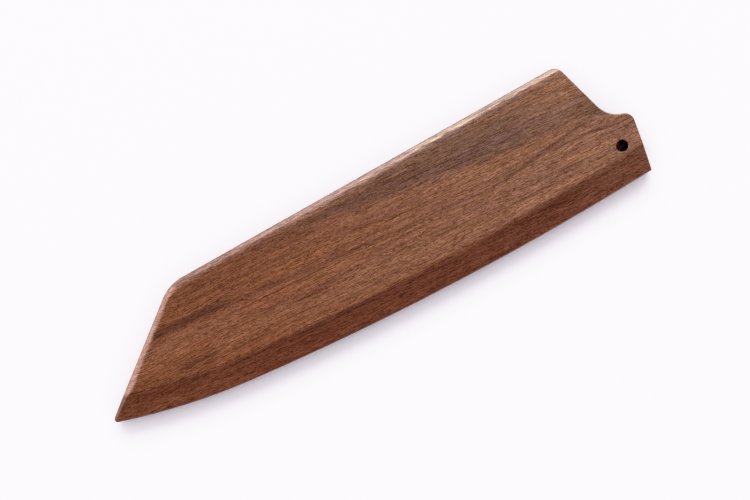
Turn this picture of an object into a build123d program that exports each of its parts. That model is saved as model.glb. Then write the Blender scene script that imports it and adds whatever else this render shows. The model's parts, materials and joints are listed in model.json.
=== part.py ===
from build123d import *
import math
import os

# A slip-on wooden guard for a 210 mm kitchen knife whose tip is cut back at an angle.
# Two shaped outer boards are glued to three spacers, which leave a blade-shaped slot
# that is open along the whole mouth. The guard lies flat: X runs along the spine
# towards the handle, Y points to the spine and Z points up. Lengths are millimetres
# and angles are degrees.

# Outline, seen from above, drawn from the sharp point of the tip. The belly's long arc
# is lowest at BELLY_LOW_X and, carried on, would pass BELLY_BELOW_TIP under the point.
POINT_TO_EAR = 231.3
TIP_TO_SPINE = 35.7
TIP_ANGLE = 38.5
TIP_RADIUS = 1.2
KNEE_RADIUS = 16.0
BELLY_DROP = 18.05
BELLY_LOW_X = 176.7
BELLY_BELOW_TIP = 4.75
NOSE_RADIUS = 260.0

# Mouth: a leaning cut, a round scoop, the ear that carries the pin hole, a leaning end
MOUTH_SETBACK = 16.0
MOUTH_LEAN = 16.0
SPINE_CORNER_RADIUS = 4.0
SCOOP_RADIUS = 10.7
EAR_RADIUS = 3.8
EAR_CENTRE_DEPTH = 31.9
END_LEAN = 9.7

# Outer boards, with a wide bevel above the cutting edge. The back's chamfer is narrow
# along the tip, widest at the knee and tapers along the spine to the mouth. Where the
# bevel meets the tip, the chamfer runs on over it and narrows down to the point.
BOARD_THICKNESS = 3.4
BEVEL_WIDTH = 9.8
BEVEL_DROP = 2.7
BEVEL_RIDGE_RADIUS = 5.0
RIM_RADIUS = 0.8
POINT_CHAMFER_DROP = 0.5
TIP_CHAMFER_WIDTH = 1.9
KNEE_CHAMFER_WIDTH = 2.6
KNEE_TOP_RADIUS = 11.0
MOUTH_CHAMFER_WIDTH = 2.1
BACK_CHAMFER_DROP = 0.9
BACK_RIDGE_RADIUS = 4.0
MOUTH_EDGE_RADIUS = 0.45

# Spacers that hold the boards apart by the blade's thickness and its clearance
BLADE_THICKNESS = 3.4
BLADE_CLEARANCE = 0.5
SPINE_SPACER_WIDTH = 3.8
TIP_SPACER_WIDTH = 4.5
EDGE_SPACER_WIDTH = 4.2

# Hole for the retaining pin, behind the blade's heel
PIN_HOLE_RADIUS = 2.2
PIN_HOLE_RIM = 0.4
PIN_FROM_EAR = 9.0
PIN_BELOW_SPINE = 39.0

# How far construction bodies run past the wood that they cut or keep
OVERRUN = 6.0

SLOT_HEIGHT = BLADE_THICKNESS + 2 * BLADE_CLEARANCE
PAST_EAR = POINT_TO_EAR + OVERRUN
BELOW_BELLY = -(BELLY_DROP + OVERRUN)


def direction(angle):
    """Unit vector at an angle from +X, anticlockwise."""
    return Vector(math.cos(math.radians(angle)), math.sin(math.radians(angle)))


def bearing(start, end):
    """Angle from +X of the way from start to end."""
    return math.degrees(math.atan2(end.Y - start.Y, end.X - start.X))


def line_meets_circle(start, along, centre, radius):
    """First and last points where a line crosses a circle."""
    offset = start - centre
    middle = -offset.dot(along)
    half = math.sqrt(middle ** 2 - offset.dot(offset) + radius ** 2)
    return start + along * (middle - half), start + along * (middle + half)


def circles_meet(centre, radius, other, other_radius):
    """The crossing of two circles that lies to the right of the way between them."""
    way = other - centre
    along = (radius ** 2 - other_radius ** 2 + way.dot(way)) / (2 * way.length)
    aside = math.sqrt(radius ** 2 - along ** 2)
    unit = way.normalized()
    return centre + unit * along + Vector(unit.Y, -unit.X) * aside


def lines_meet(start, way, other, other_way):
    """The crossing of two lines, each given by a point and its way."""
    turn = way.cross(other_way).Z
    return start + way * ((other - start).cross(other_way).Z / turn)


def arc(start, centre, end):
    """Arc of less than half a turn from start to end about a centre."""
    middle_way = ((start - centre) + (end - centre)).normalized()
    return ThreePointArc(start, centre + middle_way * (start - centre).length, end)


def arc_radius(reach, rise):
    """Radius of an arc that is level at its foot and rises by rise over reach."""
    return (reach ** 2 + rise ** 2) / (2 * rise)


# Belly: a tight nose arc from the tip runs smoothly into a long, nearly flat arc
tip = Vector(0, 0)
belly_radius = arc_radius(BELLY_LOW_X, BELLY_DROP - BELLY_BELOW_TIP)
belly_centre = Vector(BELLY_LOW_X, belly_radius - BELLY_DROP)
nose_centre = circles_meet(tip, NOSE_RADIUS, belly_centre, belly_radius - NOSE_RADIUS)
belly_joint = belly_centre + (nose_centre - belly_centre).normalized() * belly_radius

# Back: the cut-back tip rises to the knee, and the spine runs on to the mouth
knee = Vector(TIP_TO_SPINE / math.tan(math.radians(TIP_ANGLE)), TIP_TO_SPINE)
mouth_top = Vector(POINT_TO_EAR - MOUTH_SETBACK, TIP_TO_SPINE)

# Mouth: the scoop touches the leaning cut and the ear, so the edge is one S-curve
ear_centre = Vector(POINT_TO_EAR - EAR_RADIUS, TIP_TO_SPINE - EAR_CENTRE_DEPTH)
mouth_down = direction(MOUTH_LEAN - 90)
mouth_outward = direction(MOUTH_LEAN)
scoop_centre = line_meets_circle(
    mouth_top + mouth_outward * SCOOP_RADIUS,
    mouth_down,
    ear_centre,
    SCOOP_RADIUS + EAR_RADIUS,
)[0]
scoop_start = scoop_centre - mouth_outward * SCOOP_RADIUS
scoop_end = ear_centre + (scoop_centre - ear_centre).normalized() * EAR_RADIUS
ear_end = ear_centre + direction(-END_LEAN) * EAR_RADIUS
heel = line_meets_circle(ear_end, direction(-90 - END_LEAN), belly_centre, belly_radius)[1]


def guard_outline():
    """The face that every layer of the guard shares."""
    back = FilletPolyline(
        tip, knee, mouth_top, scoop_start, radius=[KNEE_RADIUS, SPINE_CORNER_RADIUS]
    )
    mouth = [
        arc(scoop_start, scoop_centre, scoop_end),
        arc(scoop_end, ear_centre, ear_end),
        Line(ear_end, heel),
    ]
    belly = [arc(heel, belly_centre, belly_joint), arc(belly_joint, nose_centre, tip)]
    face = make_face(back.edges() + mouth + belly)
    return fillet(face.vertices().sort_by(Axis.X)[0], TIP_RADIUS)


def along_belly(profile):
    """Carry a profile, drawn inwards from the belly and up, along both belly arcs."""
    outward = (belly_joint - belly_centre).normalized()
    section_plane = Plane(belly_joint, x_dir=-outward, z_dir=(-outward).cross(Vector(0, 0, 1)))
    section = section_plane * profile
    joint_bearing = bearing(belly_centre, belly_joint)
    past_tip = bearing(nose_centre, Vector(-OVERRUN, 0)) - joint_bearing
    past_ear = bearing(belly_centre, Vector(PAST_EAR, TIP_TO_SPINE)) - joint_bearing
    nose = revolve(section, Axis(nose_centre, (0, 0, 1)), past_tip)
    body = revolve(section, Axis(belly_centre, (0, 0, 1)), past_ear)
    return nose + body


def back_corner(tip_inset, knee_inset, mouth_inset):
    """Where the tip's line and the spine's line cross, each moved into the wood."""
    near_knee = knee - Vector(0, knee_inset)
    near_mouth = mouth_top - Vector(0, mouth_inset)
    return lines_meet(back_foot(tip_inset), direction(TIP_ANGLE), near_knee, near_mouth - near_knee)


def back_foot(tip_inset):
    """Where the tip's line, moved into the wood, passes below the belly."""
    moved = tip + direction(TIP_ANGLE - 90) * tip_inset
    return lines_meet(moved, direction(TIP_ANGLE), Vector(0, BELOW_BELLY), Vector(1, 0))


def back_face(height, knee_radius, tip_inset, knee_inset, mouth_inset):
    """A level face that has the guard's back and runs past its other sides."""
    foot = back_foot(tip_inset)
    corner = back_corner(tip_inset, knee_inset, mouth_inset)
    near_mouth = mouth_top - Vector(0, mouth_inset)
    spine_end = lines_meet(corner, near_mouth - corner, Vector(PAST_EAR, 0), Vector(0, 1))
    back = FilletPolyline(foot, corner, spine_end, radius=knee_radius)
    others = Polyline(spine_end, Vector(PAST_EAR, BELOW_BELLY), foot)
    return Pos(0, 0, height) * make_face(back.edges() + others.edges())


def back_block():
    """A block whose upper back edge has the chamfer of the tip, the knee and the spine."""
    shoulder = BOARD_THICKNESS - BACK_CHAMFER_DROP
    low = back_face(shoulder, KNEE_RADIUS, 0, 0, 0)
    high = back_face(
        BOARD_THICKNESS,
        KNEE_TOP_RADIUS,
        TIP_CHAMFER_WIDTH,
        KNEE_CHAMFER_WIDTH,
        MOUTH_CHAMFER_WIDTH,
    )
    block = extrude(low, -shoulder) + loft([low, high], ruled=True)
    on_top = block.edges().filter_by_position(Axis.Z, BOARD_THICKNESS, BOARD_THICKNESS)
    ridge = on_top.sort_by(Axis.X)[:-1].sort_by(Axis.Y)[1:]
    return fillet(ridge, BACK_RIDGE_RADIUS)


def belly_block():
    """A block whose upper belly edge has the wide bevel, softened above and below."""
    depth = TIP_TO_SPINE + BELLY_DROP + OVERRUN
    shaped = FilletPolyline(
        (0, 0),
        (0, BOARD_THICKNESS - BEVEL_DROP),
        (BEVEL_WIDTH, BOARD_THICKNESS),
        (depth, BOARD_THICKNESS),
        radius=[RIM_RADIUS, BEVEL_RIDGE_RADIUS],
    )
    plain = Polyline((depth, BOARD_THICKNESS), (depth, 0), (0, 0))
    return along_belly(make_face(shaped.edges() + plain.edges()))


def point_cutter():
    """Cuts the chamfer's last stretch, from the bevel's ridge down to the point."""
    inner_radius = NOSE_RADIUS - BEVEL_WIDTH
    ridge = line_meets_circle(tip, direction(TIP_ANGLE), nose_centre, inner_radius)[0]
    inner = ridge + direction(TIP_ANGLE - 90) * TIP_CHAMFER_WIDTH
    low = Vector(tip.X, tip.Y, BOARD_THICKNESS - BEVEL_DROP - POINT_CHAMFER_DROP)
    high = Vector(ridge.X, ridge.Y, BOARD_THICKNESS - BACK_CHAMFER_DROP)
    across = Vector(inner.X, inner.Y, BOARD_THICKNESS) - high
    surface = Plane(low, x_dir=high - low, z_dir=across.cross(high - low))
    size = 2 * TIP_TO_SPINE
    return surface * Pos(0, 0, size / 2) * Box(size, size, size)


def pin_cutter():
    """The pin hole through one board, opened a little at its outer rim."""
    through = Cylinder(PIN_HOLE_RADIUS, BOARD_THICKNESS + 2 * OVERRUN)
    rim = Cone(PIN_HOLE_RADIUS, PIN_HOLE_RADIUS + PIN_HOLE_RIM, PIN_HOLE_RIM)
    rim_height = BOARD_THICKNESS - PIN_HOLE_RIM / 2
    place = Pos(POINT_TO_EAR - PIN_FROM_EAR, TIP_TO_SPINE - PIN_BELOW_SPINE)
    return place * (through + Pos(0, 0, rim_height) * rim)


def mouth_edges(wood):
    """The edges round the mouth on a board's shaped face."""
    at_mouth = wood.edges().filter_by(lambda edge: edge.center().X > mouth_top.X)
    return at_mouth.filter_by(lambda edge: edge.bounding_box().min.Z > 0)


def board():
    """An outer board with its inside face at height zero and its shaped face up."""
    wood = extrude(guard_outline(), BOARD_THICKNESS) & belly_block() & back_block()
    wood = fillet(mouth_edges(wood), MOUTH_EDGE_RADIUS)
    return wood - pin_cutter() - point_cutter()


def edge_spacer():
    """The curved strip that the cutting edge faces."""
    strip = make_face(Polyline(
        (0, 0), (EDGE_SPACER_WIDTH, 0), (EDGE_SPACER_WIDTH, SLOT_HEIGHT), (0, SLOT_HEIGHT),
        close=True,
    ))
    return extrude(guard_outline(), SLOT_HEIGHT) & along_belly(strip)


def straight_spacer(corners):
    """A straight strip between the given corners, cut to the guard's outline."""
    strip = make_face(Polyline(*corners, close=True))
    return extrude(guard_outline() & strip, SLOT_HEIGHT)


def spine_spacer(inner_knee):
    """The strip along the spine, mitred to the tip spacer at the knee."""
    outer_end = Vector(PAST_EAR, TIP_TO_SPINE)
    inner_end = Vector(PAST_EAR, TIP_TO_SPINE - SPINE_SPACER_WIDTH)
    return straight_spacer([knee, outer_end, inner_end, inner_knee])


def tip_spacer(inner_knee):
    """The strip along the cut-back tip, which stands on the edge spacer."""
    corners = [knee, inner_knee, back_foot(TIP_SPACER_WIDTH), back_foot(0)]
    return straight_spacer(corners) - edge_spacer()


outline_box = guard_outline().bounding_box()
to_centre = Pos(-outline_box.center().X, -outline_box.center().Y)
inner_knee = back_corner(TIP_SPACER_WIDTH, SPINE_SPACER_WIDTH, SPINE_SPACER_WIDTH)
top_board = board()

nodes = {
    "lower_board": Pos(0, 0, BOARD_THICKNESS) * mirror(top_board, Plane.XY),
    "edge_spacer": Pos(0, 0, BOARD_THICKNESS) * edge_spacer(),
    "tip_spacer": Pos(0, 0, BOARD_THICKNESS) * tip_spacer(inner_knee),
    "spine_spacer": Pos(0, 0, BOARD_THICKNESS) * spine_spacer(inner_knee),
    "upper_board": Pos(0, 0, BOARD_THICKNESS + SLOT_HEIGHT) * top_board,
}

os.makedirs("parts", exist_ok=True)
for name, solid in nodes.items():
    export_step(to_centre * solid, f"parts/{name}.step")
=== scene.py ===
import json
import math

import bpy
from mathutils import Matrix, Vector


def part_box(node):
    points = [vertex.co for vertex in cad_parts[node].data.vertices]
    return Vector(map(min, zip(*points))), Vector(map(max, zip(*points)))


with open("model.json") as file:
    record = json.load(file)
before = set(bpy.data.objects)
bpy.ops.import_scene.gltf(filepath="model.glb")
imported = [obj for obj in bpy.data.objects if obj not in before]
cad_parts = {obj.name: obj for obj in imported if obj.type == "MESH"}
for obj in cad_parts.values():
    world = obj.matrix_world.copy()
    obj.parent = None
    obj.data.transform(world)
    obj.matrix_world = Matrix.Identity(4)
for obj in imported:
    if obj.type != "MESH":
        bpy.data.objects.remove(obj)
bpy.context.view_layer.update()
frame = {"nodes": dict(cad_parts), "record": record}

MM_PER_M = 1000.0

# Camera, straight above. The guard's spine rises to the right by SPINE_TILT degrees, and the
# picture is VIEW_WIDTH wide at SCALE_HEIGHT above the table.
SPINE_TILT = 29.42
VIEW_WIDTH = 0.2870
VIEW_CENTRE = (0.00398, -0.00038)
SCALE_HEIGHT = 0.011
CAMERA_HEIGHT = 1.3

# Light: one wide soft box beyond the top edge of the picture, and a pale room. The bearing
# is counted from x towards y, in degrees.
KEY_BEARING = 68.0
KEY_RISE = 42.0
KEY_DISTANCE = 2.2
KEY_SIZE = (2.4, 1.2)
KEY_POWER = 29.0
KEY_COLOUR = (1.0, 0.985, 0.975)
ROOM_COLOUR = (0.975, 0.965, 1.02)
ROOM_STRENGTH = 0.965

# Tone: the light that is shown black, the light at the end of the curves, the combined curve
# that leads the white table into white, in shares of that light, and the green channel's
# own curve, which comes first and gives the bright table its faint lavender
BLACK_LEVEL = 0.036
WHITE_LEVEL = 1.5
WHITE_CURVE = (
    (0.28, 0.416), (0.34, 0.560), (0.40, 0.695), (0.46, 0.832), (0.55, 0.928), (0.62, 0.960),
    (0.80, 0.982), (1.0, 0.990),
)
GREEN_CURVE = (
    (0.25, 0.25), (0.34, 0.350), (0.45, 0.456), (0.62, 0.582), (0.8, 0.640), (1.0, 0.70),
)

# The table: a white sheet with faint patches that are darker and smoother
FLOOR_HALF = 6.0
FLOOR_COLOUR = (0.90, 0.865, 0.895)
FLOOR_PATCH_SHADE = 0.985
FLOOR_PATCH_SCALE = 6.0
FLOOR_PATCH_DETAIL = 3.0
FLOOR_ROUGHNESS_RANGE = (0.6, 0.7)
FLOOR_SPECULAR = 0.2

# Heights and the pin hole, from the imported model. The painted shade in the hole fades out
# over the hole's rim.
LOWER_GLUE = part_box("lower_board")[1][2] * MM_PER_M
UPPER_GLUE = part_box("upper_board")[0][2] * MM_PER_M
TOP_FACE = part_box("upper_board")[1][2] * MM_PER_M
MOUNTS = {mount["name"]: mount for mount in frame["record"]["mounts"]}
PIN_HOLE = [MM_PER_M * part for part in MOUNTS["pin_hole"]["pos_m"][:2]]
PIN_HOLE_RADIUS = MOUNTS["pin_hole"]["dims"]["r_mm"]
PIN_HOLE_FADE = (PIN_HOLE_RADIUS + 0.3, PIN_HOLE_RADIUS + 0.15)

# The grain falls across the guard towards the mouth, wanders a little from its line and
# leans through the thickness. ROW_SHIFT moves the noises' rows against each other.
GRAIN_FALL = 0.062
GRAIN_WOBBLE = 2.6
FIBRE_WOBBLE = 0.7
RING_LEAN = 0.45
ROW_SHIFT = 0.62

# Noises that are drawn out along the grain: the length and the width of a feature, the shift
# that sets it apart from the others, and its detail. They swing about NOISE_MIDDLE.
NOISE_MIDDLE = 0.5
GRAIN_BEND = (40.0, 9.0, 5.0, 2.0)
FIGURE = (150.0, 3.5, 0.0, 3.0)
RINGS = (36.0, 0.85, 7.0, 1.0)
HUE = (60.0, 2.4, 6.0, 2.0)
TOOL_LINES = (7.0, 0.5, 12.0, 1.0)
FIBRE_BEND = (7.0, 2.2, 8.0, 2.0)
THREADS = (18.0, 0.5, 2.0, 2.0)
VEINS = (50.0, 1.8, 3.0, 2.0)

# The noises of long fibres, short fibres and pores, and their weights, which add up to 1
FIBRES = (
    ((7.5, 0.26, 1.0, 1.0), 0.42),
    ((1.9, 0.20, 4.0, 0.0), 0.30),
    ((0.6, 0.22, 9.0, 0.0), 0.28),
)

# Dark bands in all the wood: the noise, the fade of its value, and the strength
DARK_BANDS = (
    (FIGURE, (0.50, 0.30), 0.35),
    (RINGS, (0.41, 0.30), 0.6),
)
HUE_FADE = (0.38, 0.62)
TOOL_LINES_FADE = (0.35, 0.65)

# Kinds of face, by the upward or downward part of the normal: slopes and anything flatter,
# the belly's rim and anything steeper, the back's rim and anything steeper, and side walls
SLOPE_FADE = (0.35, 0.65)
RIM_FADE = (0.86, 0.70)
BACK_RIM_FADE = (0.92, 0.76)
WALL_FADE = (0.5, 0.2)

# Kinds of face, by where they look: towards the tip, towards the back, which is the spine and
# the cut-back tip, the back's rim, end grain, and faces inside the slot. The slot's fade is
# that of the normal's upward part times the height above the guard's middle.
TIP_SIDE = (0.0, -0.15)
BACK_SIDE = (0.05, 0.32)
BACK_RIM_SIDE = (0.25, 0.55)
END_GRAIN = (0.55, 0.90)
IN_SLOT = (-0.5, -1.5)

# Two arcs of the belly's outline, each a centre and a radius. The belly arc takes over from
# the nose arc along this fade of x.
BELLY_ARC = ((60.4, 1153.6), 1180.4)
NOSE_ARC = ((-34.8, 238.1), 260.0)
NOSE_TO_BELLY = (-62.6, -60.6)

# The grey zone: its edge across the guard at x = 0, how fast that edge falls along x, where
# the zone begins along x, the fades along x and y of the corner at the mouth that it mostly
# leaves out, and how much is lost there
GREY_EDGE = (15.5, 20.5)
GREY_FALL = 0.15
GREY_START = (-50.0, 5.0)
GREY_CORNER = ((62.0, 98.0), (4.0, 16.0))
GREY_CORNER_LOSS = 0.8

# Pale wood, partly rubbed wear and partly a painted highlight: the back's edge, which tool
# lines break up and which gets paler along x, the soft zone inside the spine's chamfer, and
# a thin ledge between two fades along the same chamfer
BACK_LINES_RANGE = (0.55, 1.45)
RUB_AND_HIGHLIGHT_ALONG = (-85.0, 70.0)
RUB_AND_HIGHLIGHT_RANGE = (0.27, 0.93)
ZONE_ACROSS = (21.5, 25.5)
ZONE_ALONG = (-45.0, 15.0)
ZONE = 0.28
LEDGE_ACROSS = ((23.5, 24.3), (25.2, 24.6))
LEDGE_ALONG = (-55.0, -25.0)
LEDGE = 0.2

# Towards the mouth the spine's chamfer has painted shade on a dull outer strip, and a painted
# highlight line between two fades inside it
CHAMFER_ALONG = (-15.0, 50.0)
SHADE_STRIP_ACROSS = (25.35, 25.75)
HIGHLIGHT_LINE_ACROSS = ((24.7, 25.1), (25.65, 25.3))

# The bevel's dark wood, partly darker wood and partly painted shade, begins softly at this
# depth inside the outline, and BEVEL_SHIFT further inside over the mouth's half. It is weaker
# at the tip and at the ear, each given as a fade of x and a range.
MOUTH_HALF = (-20.0, 25.0)
BEVEL_FADE = (10.9, 8.3)
BEVEL_SHIFT = 0.8
BEVEL_TIP = ((-115.0, -30.0), (0.55, 0.85))
BEVEL_EAR = ((75.0, 100.0), (1.0, 0.8))

# Light on the bevel, in shares of the wood's value: a dull line between two fades below its
# ridge, which is faint at the tip, and a glow towards its rim, which is faint over the
# mouth's half
DIP_DEPTH = ((5.5, 8.0), (9.6, 8.0))
DIP_TIP = ((-60.0, -10.0), (0.2, 1.0))
DIP = 0.14
GLOW_DEPTH = (5.0, 3.0)
GLOW_MOUTH_RANGE = (1.0, 0.4)
GLOW = 0.06

# The weave of fibres: the fade between its two tints, and what it loses on pale wear and
# painted highlight, on side walls and in the slot. Threads and veins change the wood's value.
WEAVE_FADE = (0.43, 0.57)
WEAVE_LOSSES = (0.65, 0.4, 0.6)
VALUE_RANGE = (0.70, 1.30)

# Paler rim of the belly, partly wear and partly a painted highlight: how far it looks up, its
# depth inside the outline, how it grows along x, how threads break it up, and its strength
WORN_AND_LIT_UP = (0.08, 0.25)
WORN_AND_LIT_DEPTH = (1.2, 0.6)
WORN_AND_LIT_ALONG = (-60.0, 30.0)
WORN_AND_LIT_THREADS = (0.25, 0.75)
WORN_AND_LIT = 0.7

# Glue lines on the side walls, by the distance from the glued face
SEAM_FADE = (0.16, 0.06)
SEAM = 0.9

# The oiled surface
ROUGHNESS_RANGE = (0.26, 0.46)
THREAD_HEIGHT = 0.6
BUMP_STRENGTH = 0.4
BUMP_DISTANCE = 0.00004
WOOD_IOR = 1.5
COAT_ROUGHNESS = 0.25

# Wood colours. The base wood goes from red to tan along x.
RED_WOOD = (0.186, 0.065, 0.026)
TAN_WOOD = (0.228, 0.110, 0.062)
RED_TO_TAN = (-80.0, 120.0)
DARK_WOOD = (0.080, 0.026, 0.012)
LIGHT_WOOD = (0.235, 0.105, 0.048)
# Dark bevel: partly darker wood, partly painted shade
BEVEL_WOOD_AND_SHADE = (0.107, 0.028, 0.011)
# Pale back: partly rubbed wear, partly a painted highlight
RUBBED_AND_HIGHLIGHT_WOOD = (0.384, 0.248, 0.178)
# Paler belly rim: partly wear, partly a painted highlight
WORN_AND_LIT_WOOD = (0.360, 0.205, 0.150)
GLUE = (0.050, 0.022, 0.012)

# Tints that the wood is multiplied by
GREY_TINT = (0.68, 0.75, 0.86)
PINK_TINT = (0.99, 0.97, 1.00)
YELLOW_TINT = (1.03, 1.03, 0.90)
# Painted shade of the chamfer's outer strip, and its painted highlight line
SHADE_STRIP_TINT = (0.71, 0.73, 0.75)
HIGHLIGHT_LINE_TINT = (1.30, 1.42, 1.48)
LOW_WEAVE_TINT = (0.51, 0.36, 0.24)
HIGH_WEAVE_TINT = (1.50, 1.64, 1.84)
END_TINT = (0.50, 0.46, 0.44)
SLOT_TINT = (0.72, 0.86, 1.15)
BACK_RIM_TINT = (0.64, 0.79, 0.92)
# Painted shade in the pin hole
HOLE_SHADE_TINT = (0.50, 0.44, 0.44)

# Streaks of the upper board's figure: colour, strength, half width, and the start, the
# middle and the end of the curve that they follow. STREAK_SIDE is in half widths.
STREAK_SIDE = (1.5, 0.2)
STREAKS = (
    (DARK_WOOD, 0.85, 2.0, (-94.0, 13.4), (-76.0, 12.2), (-46.0, 9.2)),
    (DARK_WOOD, 0.50, 0.8, (-60.0, 9.6), (-20.0, 5.6), (38.0, -1.8)),
    (DARK_WOOD, 0.35, 0.8, (-80.0, 18.2), (-50.0, 16.2), (-10.0, 12.2)),
    (DARK_WOOD, 0.35, 0.8, (-12.0, 10.6), (10.0, 8.6), (36.0, 5.0)),
    (DARK_WOOD, 0.45, 0.8, (48.0, -2.0), (80.0, 0.8), (108.0, 3.6)),
    (DARK_WOOD, 0.30, 0.7, (58.0, 7.6), (82.0, 4.0), (108.0, 3.0)),
    (DARK_WOOD, 0.25, 0.8, (52.0, -6.6), (76.0, -8.4), (100.0, -11.4)),
    (DARK_WOOD, 0.75, 0.7, (-86.0, -3.5), (-76.0, -4.2), (-64.0, -5.2)),
    (DARK_WOOD, 0.65, 2.4, (-112.0, -4.6), (-92.0, -7.2), (-70.0, -10.6)),
    (DARK_WOOD, 0.45, 1.2, (-76.0, -10.6), (-40.0, -14.0), (10.0, -17.4)),
    (LIGHT_WOOD, 0.38, 3.6, (-98.0, 4.0), (-76.0, 5.6), (-46.0, 2.0)),
    (LIGHT_WOOD, 0.45, 1.6, (-12.0, 15.0), (20.0, 12.0), (64.0, 6.0)),
    (LIGHT_WOOD, 0.35, 3.0, (-40.0, -7.0), (0.0, -9.0), (60.0, -8.0)),
    (LIGHT_WOOD, 0.50, 0.9, (-100.0, -11.6), (-84.0, -14.0), (-60.0, -17.4)),
    (DARK_WOOD, 0.35, 3.2, (-74.0, 25.2), (-40.0, 22.8), (-2.0, 18.4)),
    (LIGHT_WOOD, 0.50, 2.0, (50.0, 6.6), (74.0, 5.0), (106.0, 5.0)),
    (LIGHT_WOOD, 0.65, 1.6, (76.0, -6.2), (92.0, -7.0), (108.0, -7.6)),
    (LIGHT_WOOD, 0.65, 2.6, (-20.0, -5.4), (8.0, -6.0), (36.0, -7.0)),
    (LIGHT_WOOD, 0.40, 2.8, (50.0, 22.8), (78.0, 22.2), (106.0, 20.6)),
    (LIGHT_WOOD, 0.40, 1.8, (-28.0, 23.8), (-4.0, 23.4), (16.0, 22.8)),
    (LIGHT_WOOD, 0.35, 2.4, (-72.0, -2.2), (-51.0, -3.2), (-28.0, -3.6)),
    (DARK_WOOD, 0.14, 2.8, (-64.0, 12.4), (-38.0, 13.2), (-6.0, 12.8)),
    (DARK_WOOD, 0.16, 2.2, (16.0, 0.2), (38.0, -0.6), (58.0, -1.2)),
    (DARK_WOOD, 0.32, 2.4, (-106.0, -1.5), (-84.0, -3.4), (-62.0, -5.0)),
)

# The woods: the seed of the noises, how light the wood is, its streaks, and its CAD nodes
WOODS = (
    ("upper_board_walnut", 0.0, 1.02, STREAKS, ("upper_board",)),
    ("lower_board_walnut", 11.0, 1.0, (), ("lower_board",)),
    ("spacer_walnut", 23.0, 0.85, (), ("edge_spacer", "tip_spacer", "spine_spacer")),
)


def coloured(value):
    """A colour as shader sockets take it."""
    return (*value, 1.0)


class Shading:
    """Adds nodes to a new material and returns their output sockets."""

    def __init__(self, name):
        self.material = bpy.data.materials.new(name)
        self.material.use_nodes = True
        self.tree = self.material.node_tree
        self.tree.nodes.clear()

    def node(self, kind, inputs=None, **settings):
        made = self.tree.nodes.new(kind)
        for key, value in settings.items():
            setattr(made, key, value)
        for key, value in (inputs or {}).items():
            if isinstance(value, bpy.types.NodeSocket):
                self.tree.links.new(value, made.inputs[key])
            else:
                made.inputs[key].default_value = value
        return made

    def math(self, operation, *values):
        made = self.node("ShaderNodeMath", dict(enumerate(values)), operation=operation)
        return made.outputs[0]

    def absolute(self, value):
        return self.math("ABSOLUTE", value)

    def times(self, first, *others):
        for other in others:
            first = self.math("MULTIPLY", first, other)
        return first

    def between(self, share, low, high):
        """Low where share is 0 and high where it is 1."""
        return self.math("MULTIPLY_ADD", share, high - low, low)

    def fade(self, value, start, end):
        """0 at start and 1 at end, smooth between."""
        made = self.node(
            "ShaderNodeMapRange",
            {"Value": value, "From Min": start, "From Max": end},
            interpolation_type="SMOOTHSTEP",
        )
        return made.outputs["Result"]

    def band(self, value, rise, fall):
        """1 between two fades."""
        return self.times(self.fade(value, *rise), self.fade(value, *fall))

    def vector(self, *parts):
        return self.node("ShaderNodeCombineXYZ", dict(enumerate(parts))).outputs[0]

    def parts(self, vector):
        return self.node("ShaderNodeSeparateXYZ", {0: vector}).outputs

    def length(self, *parts):
        """Length of a vector with these parts."""
        made = self.node(
            "ShaderNodeVectorMath", {0: self.vector(*parts)}, operation="LENGTH"
        )
        return made.outputs["Value"]

    def noise(self, at, detail, scale=1.0):
        made = self.node(
            "ShaderNodeTexNoise", {"Vector": at, "Scale": scale, "Detail": detail}
        )
        return made.outputs["Fac"]

    def mix(self, share, low, high, blend="MIX"):
        """The Mix node, whose colours are its inputs 6 and 7 and its output 2."""
        made = self.node(
            "ShaderNodeMix", {0: share, 6: low, 7: high}, data_type="RGBA", blend_type=blend
        )
        return made.outputs[2]

    def surface(self, inputs):
        """Ends the material in a shader with these inputs."""
        shader = self.node("ShaderNodeBsdfPrincipled", inputs)
        self.node("ShaderNodeOutputMaterial", {"Surface": shader.outputs[0]})


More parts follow.
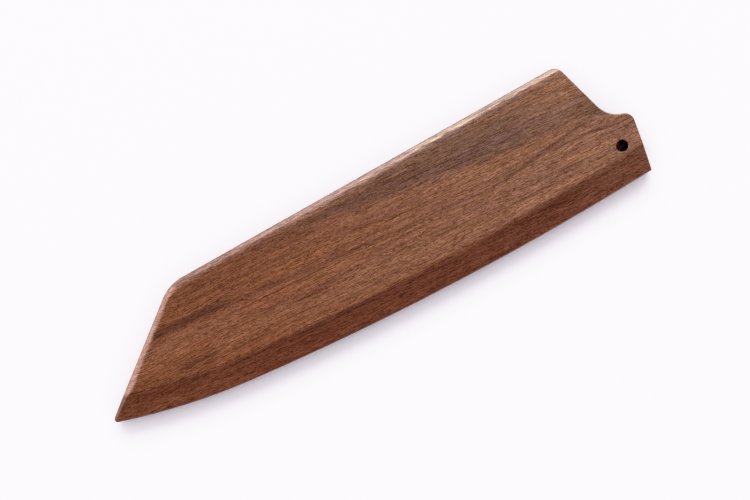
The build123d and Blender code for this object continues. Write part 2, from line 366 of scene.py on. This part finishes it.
class Grain(Shading):
    """A shading with the guard's millimetres, its surface normal and its grain."""

    def __init__(self, name, seed):
        super().__init__(name)
        self.seed = seed
        place = self.node("ShaderNodeTexCoord").outputs["Object"]
        scaled = self.node(
            "ShaderNodeVectorMath", {0: place, 1: (MM_PER_M,) * 3}, operation="MULTIPLY"
        )
        self.x, self.y, self.z = self.parts(scaled.outputs[0])
        normal = self.node("ShaderNodeNewGeometry").outputs["Normal"]
        self.facing_x, self.facing_y, self.facing_z = self.parts(normal)
        self.flatness = self.absolute(self.facing_z)

        depth = self.math("ADD", self.z, -TOP_FACE)
        leaning = self.math("MULTIPLY_ADD", depth, RING_LEAN, self.y)
        self.bent = self.wander(leaning, GRAIN_BEND, GRAIN_WOBBLE)
        self.across = self.math("MULTIPLY_ADD", self.x, GRAIN_FALL, self.bent)

    def pattern(self, kind, level=None):
        """A noise along lines of equal level, which are the grain's own if none is given."""
        along, across, shift, detail = kind
        level = level or self.across
        moved = self.seed + shift
        run = self.math("MULTIPLY_ADD", self.x, 1.0 / along, moved)
        at = self.vector(
            self.math("MULTIPLY_ADD", level, ROW_SHIFT / across, run),
            self.math("MULTIPLY_ADD", level, 1.0 / across, moved),
            self.math("MULTIPLY_ADD", self.z, 1.0 / across, moved),
        )
        return self.noise(at, detail)

    def wander(self, level, kind, reach):
        """Makes lines of equal level leave their way by up to half of reach."""
        off = self.math("ADD", self.pattern(kind, level), -NOISE_MIDDLE)
        return self.math("MULTIPLY_ADD", off, reach, level)

    def off_point(self, point):
        """Distance from a point in x and y."""
        return self.length(
            self.math("ADD", self.x, -point[0]), self.math("ADD", self.y, -point[1])
        )

    def inside(self, arc):
        """Depth inside an arc of the belly."""
        centre, radius = arc
        return self.math("SUBTRACT", radius, self.off_point(centre))

    def belly_depth(self):
        """Depth inside the belly's outline."""
        past = self.fade(self.x, *NOSE_TO_BELLY)
        nose = self.times(self.inside(NOSE_ARC), self.between(past, 1.0, 0.0))
        return self.math("MULTIPLY_ADD", self.inside(BELLY_ARC), past, nose)

    def ramp(self, fade, strengths):
        """A strength that changes over a fade of x."""
        return self.between(self.fade(self.x, *fade), *strengths)

    def streak(self, half_width, start, middle, end):
        """1 on a curve through three points, fading out sideways and at its ends."""
        before = start[0] - middle[0]
        after = end[0] - middle[0]
        fall = (start[1] - middle[1]) / before
        bend = ((end[1] - middle[1]) / after - fall) / (after - before)
        run = self.math("ADD", self.x, -middle[0])
        way = self.math("MULTIPLY_ADD", run, bend, fall - bend * before)
        line = self.math("MULTIPLY_ADD", run, way, middle[1])
        off = self.absolute(self.math("SUBTRACT", self.bent, line))
        side = self.fade(off, *[half_width * part for part in STREAK_SIDE])
        begun = self.fade(run, before, before / 2)
        ended = self.fade(run, after, after / 2)
        return self.times(side, begun, ended)


class Walnut(Grain):
    """Oiled walnut with figure, streaks, fibres and pores that run through the solid."""

    def __init__(self, name, seed, tone, streaks):
        super().__init__(name, seed)
        self.sloping = self.fade(self.flatness, *SLOPE_FADE)
        self.upright = self.fade(self.flatness, *WALL_FADE)
        off_middle = self.math("ADD", self.z, -(LOWER_GLUE + UPPER_GLUE) / 2)
        self.in_slot = self.fade(self.times(self.facing_z, off_middle), *IN_SLOT)
        self.depth = self.belly_depth()
        self.thread = self.pattern(THREADS)

        self.colour = self.mix(
            self.fade(self.x, *RED_TO_TAN), coloured(RED_WOOD), coloured(TAN_WOOD)
        )
        self.lay_grey()
        self.lay_figure(streaks)
        self.paint_back_wear_and_highlight()
        self.paint_chamfer_shade_and_highlight()
        light = self.lay_bevel()
        self.lay_fibres(self.math("ADD", light, tone))
        self.stain(self.fade(self.absolute(self.facing_x), *END_GRAIN), END_TINT)
        self.stain(self.in_slot, SLOT_TINT)
        self.paint_rims()
        # Painted shade inside the pin hole
        self.stain(self.fade(self.off_point(PIN_HOLE), *PIN_HOLE_FADE), HOLE_SHADE_TINT)
        self.draw_glue()
        self.finish()

    def paint(self, share, shade):
        """Covers the wood with a colour where share is 1."""
        self.colour = self.mix(share, self.colour, coloured(shade))

    def multiply(self, share, other):
        """Multiplies the wood by a socket's colour where share is 1."""
        self.colour = self.mix(share, self.colour, other, "MULTIPLY")

    def stain(self, share, tint):
        """Multiplies the wood by a tint where share is 1."""
        self.multiply(share, coloured(tint))

    def lay_grey(self):
        """The grey zone towards the spine."""
        side = self.math("MULTIPLY_ADD", self.x, GREY_FALL, self.bent)
        zone = self.fade(side, *GREY_EDGE)
        corner_x, corner_y = GREY_CORNER
        corner = self.times(self.fade(self.x, *corner_x), self.fade(self.y, *corner_y))
        kept = self.between(corner, 1.0, 1.0 - GREY_CORNER_LOSS)
        self.stain(self.times(zone, self.fade(self.x, *GREY_START), kept), GREY_TINT)

    def lay_figure(self, streaks):
        """Dark bands, a change of hue across the grain, and the streaks that are given."""
        for kind, edge, strength in DARK_BANDS:
            band = self.fade(self.pattern(kind), *edge)
            self.paint(self.times(band, strength), DARK_WOOD)
        hue = self.fade(self.pattern(HUE), *HUE_FADE)
        self.multiply(1.0, self.mix(hue, coloured(PINK_TINT), coloured(YELLOW_TINT)))
        for shade, strength, *curve in streaks:
            self.paint(self.times(self.streak(*curve), strength), shade)

    def paint_back_wear_and_highlight(self):
        """Pale, polished wood along the back and beside the spine's chamfer, partly wear and
        partly a painted highlight.
        """
        tip_side = self.fade(self.facing_x, *TIP_SIDE)
        lines = self.fade(self.pattern(TOOL_LINES), *TOOL_LINES_FADE)
        lined = self.math("MAXIMUM", self.between(lines, *BACK_LINES_RANGE), tip_side)
        back = self.fade(self.times(self.facing_y, lined), *BACK_SIDE)
        paler_along = self.math("MAXIMUM", self.fade(self.x, *RUB_AND_HIGHLIGHT_ALONG), tip_side)
        edge = self.times(back, self.sloping, self.between(paler_along, *RUB_AND_HIGHLIGHT_RANGE))

        zone = self.times(
            self.fade(self.y, *ZONE_ACROSS),
            self.fade(self.x, *ZONE_ALONG),
            self.sloping,
            lines,
            ZONE,
        )
        ledge = self.times(
            self.band(self.y, *LEDGE_ACROSS),
            self.fade(self.x, *LEDGE_ALONG),
            self.sloping,
            LEDGE,
        )
        self.rubbed_and_highlight = self.math("MAXIMUM", edge, self.math("ADD", zone, ledge))
        # The pale paint is partly rubbed wear and partly a painted highlight of the chamfers
        self.paint(self.rubbed_and_highlight, RUBBED_AND_HIGHLIGHT_WOOD)

    def paint_chamfer_shade_and_highlight(self):
        """Painted shade on the dull strip and a painted highlight line along the spine's
        chamfer.
        """
        chamfer = self.times(self.fade(self.x, *CHAMFER_ALONG), self.sloping)
        self.stain(self.times(self.fade(self.y, *SHADE_STRIP_ACROSS), chamfer), SHADE_STRIP_TINT)
        self.stain(self.times(self.band(self.y, *HIGHLIGHT_LINE_ACROSS), chamfer), HIGHLIGHT_LINE_TINT)

    def lay_bevel(self):
        """The bevel's dark wood, partly darker wood and partly painted shade. Returns the
        painted light on it, which is 0 elsewhere.
        """
        mouth_half = self.fade(self.x, *MOUTH_HALF)
        shifted = self.math("MULTIPLY_ADD", mouth_half, -BEVEL_SHIFT, self.depth)
        dark = self.fade(shifted, *BEVEL_FADE)
        self.paint(self.times(dark, self.ramp(*BEVEL_TIP), self.ramp(*BEVEL_EAR)), BEVEL_WOOD_AND_SHADE)

        dip = self.times(self.band(self.depth, *DIP_DEPTH), self.ramp(*DIP_TIP), DIP)
        faint = self.between(mouth_half, *GLOW_MOUTH_RANGE)
        glow = self.times(self.fade(self.depth, *GLOW_DEPTH), faint, GLOW)
        return self.math("SUBTRACT", glow, dip)

    def lay_fibres(self, brightness):
        """The weave of fibres and pores, and the wood's value."""
        fine = self.wander(self.across, FIBRE_BEND, FIBRE_WOBBLE)
        self.fibre = 0.0
        for kind, weight in FIBRES:
            strand = self.pattern(kind, fine)
            self.fibre = self.math("MULTIPLY_ADD", strand, weight, self.fibre)
        weave = self.mix(
            self.fade(self.fibre, *WEAVE_FADE),
            coloured(LOW_WEAVE_TINT),
            coloured(HIGH_WEAVE_TINT),
        )
        woven = 1.0
        for share, loss in zip((self.rubbed_and_highlight, self.upright, self.in_slot), WEAVE_LOSSES):
            woven = self.math("MULTIPLY_ADD", share, -loss, woven)
        self.multiply(woven, weave)

        threads = self.between(self.thread, *VALUE_RANGE)
        veins = self.between(self.pattern(VEINS), *VALUE_RANGE)
        self.multiply(1.0, self.times(threads, veins, brightness))

    def paint_rims(self):
        """The belly's paler rim, partly wear and partly a painted highlight, and the back's
        rim, which is darker and cooler.
        """
        rim = self.times(
            self.fade(self.flatness, *RIM_FADE),
            self.fade(self.facing_z, *WORN_AND_LIT_UP),
            self.fade(self.depth, *WORN_AND_LIT_DEPTH),
        )
        worn_and_lit = self.times(
            rim,
            self.fade(self.x, *WORN_AND_LIT_ALONG),
            self.fade(self.thread, *WORN_AND_LIT_THREADS),
            WORN_AND_LIT,
        )
        # Paler rim: partly wear, partly a painted highlight
        self.paint(worn_and_lit, WORN_AND_LIT_WOOD)

        back = self.fade(self.facing_y, *BACK_RIM_SIDE)
        self.stain(self.times(back, self.fade(self.flatness, *BACK_RIM_FADE)), BACK_RIM_TINT)

    def draw_glue(self):
        """Two thin dark lines round the side walls."""
        for height in (LOWER_GLUE, UPPER_GLUE):
            off = self.absolute(self.math("ADD", self.z, -height))
            self.paint(self.times(self.fade(off, *SEAM_FADE), self.upright, SEAM), GLUE)

    def finish(self):
        """The oiled surface, which is coated over the pale back, its wear and its painted
        highlight.
        """
        relief = self.math("MULTIPLY_ADD", self.thread, THREAD_HEIGHT, self.fibre)
        bump = self.node(
            "ShaderNodeBump",
            {"Strength": BUMP_STRENGTH, "Distance": BUMP_DISTANCE, "Height": relief},
        )
        self.surface({
            "Base Color": self.colour,
            "Roughness": self.between(self.fibre, *ROUGHNESS_RANGE),
            "Normal": bump.outputs[0],
            "IOR": WOOD_IOR,
            "Coat Weight": self.rubbed_and_highlight,
            "Coat Roughness": COAT_ROUGHNESS,
        })


def finish_nodes(material, nodes):
    """Gives CAD nodes their finished material in every slot."""
    for node in nodes:
        for slot in frame["nodes"][node].material_slots:
            slot.material = material


def table_top():
    """A wide pale floor with a faint unevenness."""
    half = FLOOR_HALF
    corners = [(-half, -half, 0), (half, -half, 0), (half, half, 0), (-half, half, 0)]
    mesh = bpy.data.meshes.new("table_top")
    mesh.from_pydata(corners, [], [(0, 1, 2, 3)])
    floor = bpy.data.objects.new("table_top", mesh)
    bpy.context.scene.collection.objects.link(floor)

    sheet = Shading("white_sheet")
    place = sheet.node("ShaderNodeTexCoord").outputs["Object"]
    share = sheet.noise(place, FLOOR_PATCH_DETAIL, FLOOR_PATCH_SCALE)
    patch = tuple(FLOOR_PATCH_SHADE * part for part in FLOOR_COLOUR)
    sheet.surface({
        "Base Color": sheet.mix(share, coloured(patch), coloured(FLOOR_COLOUR)),
        "Roughness": sheet.between(share, *FLOOR_ROUGHNESS_RANGE),
        "Specular IOR Level": FLOOR_SPECULAR,
    })
    mesh.materials.append(sheet.material)


def lights():
    """The soft box and the pale room."""
    bearing = math.radians(KEY_BEARING)
    rise = math.radians(KEY_RISE)
    way = Vector((
        math.cos(rise) * math.cos(bearing),
        math.cos(rise) * math.sin(bearing),
        math.sin(rise),
    ))
    lamp = bpy.data.lights.new("key", "AREA")
    lamp.shape = "RECTANGLE"
    lamp.size, lamp.size_y = KEY_SIZE
    lamp.energy = KEY_POWER
    lamp.color = KEY_COLOUR
    key = bpy.data.objects.new("key", lamp)
    key.location = way * KEY_DISTANCE
    key.rotation_euler = way.to_track_quat("Z", "Y").to_euler()
    bpy.context.scene.collection.objects.link(key)

    world = bpy.data.worlds.new("room")
    world.use_nodes = True
    room = world.node_tree.nodes["Background"]
    room.inputs["Color"].default_value = coloured(ROOM_COLOUR)
    room.inputs["Strength"].default_value = ROOM_STRENGTH
    bpy.context.scene.world = world


def camera():
    """Looks straight down, turned so that the guard lies as photographed."""
    lens = bpy.data.cameras.new("camera")
    lens.lens = lens.sensor_width * (CAMERA_HEIGHT - SCALE_HEIGHT) / VIEW_WIDTH
    eye = bpy.data.objects.new("camera", lens)
    eye.location = (*VIEW_CENTRE, CAMERA_HEIGHT)
    eye.rotation_euler = (0.0, 0.0, -math.radians(SPINE_TILT))
    bpy.context.scene.collection.objects.link(eye)
    bpy.context.scene.camera = eye


def display_tone():
    """Plain display colours with deep blacks and a white table."""
    display = bpy.context.scene.view_settings
    display.view_transform = "Standard"
    display.use_curve_mapping = True
    mapping = display.curve_mapping
    mapping.black_level = (BLACK_LEVEL,) * 3
    mapping.white_level = (WHITE_LEVEL,) * 3
    green, combined = mapping.curves[1], mapping.curves[3]
    for curve, points in ((green, GREEN_CURVE), (combined, WHITE_CURVE)):
        curve.points[0].handle_type = "VECTOR"
        curve.points[1].location = points[-1]
        for point in points[:-1]:
            curve.points.new(*point)
    mapping.update()


for name, seed, tone, streaks, nodes in WOODS:
    finish_nodes(Walnut(name, seed, tone, streaks).material, nodes)
table_top()
lights()
camera()
display_tone()
